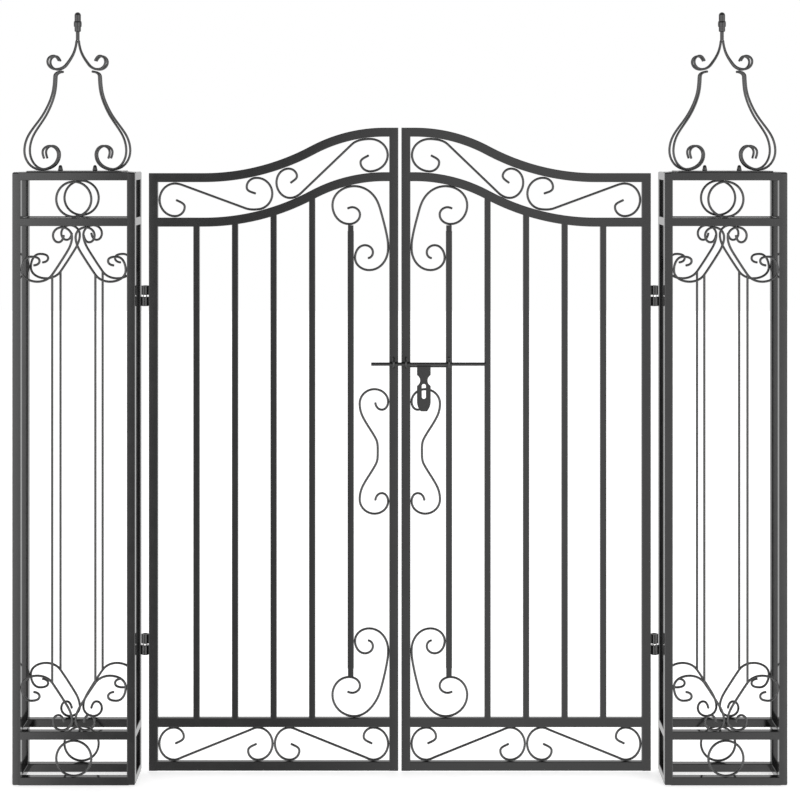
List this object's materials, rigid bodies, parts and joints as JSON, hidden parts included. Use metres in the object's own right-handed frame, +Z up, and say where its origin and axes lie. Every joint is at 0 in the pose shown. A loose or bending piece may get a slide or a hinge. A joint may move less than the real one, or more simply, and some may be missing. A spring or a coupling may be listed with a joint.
{
  "type": "wrought iron garden gate",
  "caption": "Double-leaf wrought iron garden gate with swan-neck tops and scrollwork, hung between open box pillars with scrolled finials and closed by a sliding bolt with a hasp.",
  "frame": {"origin": "middle of the underside of the left pillar's inner rear post, which carries the left leaf's hinges", "axes": "+X along the fence line towards the right pillar, +Y away from the side the bolt is on, +Z up"},
  "size_m": [1.221, 0.075, 1.2205],
  "materials": {
    "pillar_paint": "smooth black satin-gloss paint on square tube",
    "leaf_paint": "smooth black satin-gloss paint on square and flat tube",
    "finial_paint": "black satin-gloss paint on bent round wire",
    "bolt_paint": "black paint, rubbed a little where the bolt slides"
  },
  "bodies": {
    "pillars": {"left_pillar_posts": "pillar_paint", "left_pillar_rails": "pillar_paint", "left_pillar_rods": "pillar_paint", "left_pillar_rings": "pillar_paint", "left_pillar_scrolls": "pillar_paint", "left_finial_base": "finial_paint", "left_finial_scrolls": "finial_paint", "left_finial_crown": "finial_paint", "left_finial_tip": "finial_paint", "left_hinge_pins": "pillar_paint", "right_pillar_posts": "pillar_paint", "right_pillar_rails": "pillar_paint", "right_pillar_rods": "pillar_paint", "right_pillar_rings": "pillar_paint", "right_pillar_scrolls": "pillar_paint", "right_finial_base": "finial_paint", "right_finial_scrolls": "finial_paint", "right_finial_crown": "finial_paint", "right_finial_tip": "finial_paint", "right_hinge_pins": "pillar_paint"},
    "left_leaf": {"left_leaf_hinge_stile": "leaf_paint", "left_leaf_meeting_stile": "leaf_paint", "left_leaf_top_rail": "leaf_paint", "left_leaf_neck_rail": "leaf_paint", "left_leaf_kick_rails": "leaf_paint", "left_leaf_bars": "leaf_paint", "left_leaf_frieze_scrolls": "leaf_paint", "left_leaf_corner_scrolls": "leaf_paint", "left_leaf_middle_scroll": "leaf_paint", "left_leaf_hinge_sleeves": "leaf_paint", "left_leaf_staple": "bolt_paint"},
    "right_leaf": {"right_leaf_hinge_stile": "leaf_paint", "right_leaf_meeting_stile": "leaf_paint", "right_leaf_top_rail": "leaf_paint", "right_leaf_neck_rail": "leaf_paint", "right_leaf_kick_rails": "leaf_paint", "right_leaf_bars": "leaf_paint", "right_leaf_frieze_scrolls": "leaf_paint", "right_leaf_corner_scrolls": "leaf_paint", "right_leaf_middle_scroll": "leaf_paint", "right_leaf_hinge_sleeves": "leaf_paint", "right_leaf_staples": "bolt_paint", "right_leaf_hasp_wire": "bolt_paint"},
    "bolt": {"bolt_rod": "bolt_paint"},
    "hasp": {"hasp": "bolt_paint"}
  },
  "joints": [
    {"name": "left_leaf_hinge", "type": "hinge", "parent": "pillars", "child": "left_leaf", "pos_m": [0.0135, -0.002, 0.4855], "axis": [0, 0, 1], "range_deg": [0, 90]},
    {"name": "right_leaf_hinge", "type": "hinge", "parent": "pillars", "child": "right_leaf", "pos_m": [0.8335, -0.002, 0.4855], "axis": [0, 0, -1], "range_deg": [0, 90]},
    {"name": "bolt_slide", "type": "slide", "parent": "right_leaf", "child": "bolt", "axis": [1, 0, 0], "range_m": [0, 0.048]},
    {"name": "hasp_hinge", "type": "hinge", "parent": "right_leaf", "child": "hasp", "pos_m": [0.462, -0.0125, 0.6529], "axis": [-1, 0, 0], "range_deg": [0, 65]}
  ]
}
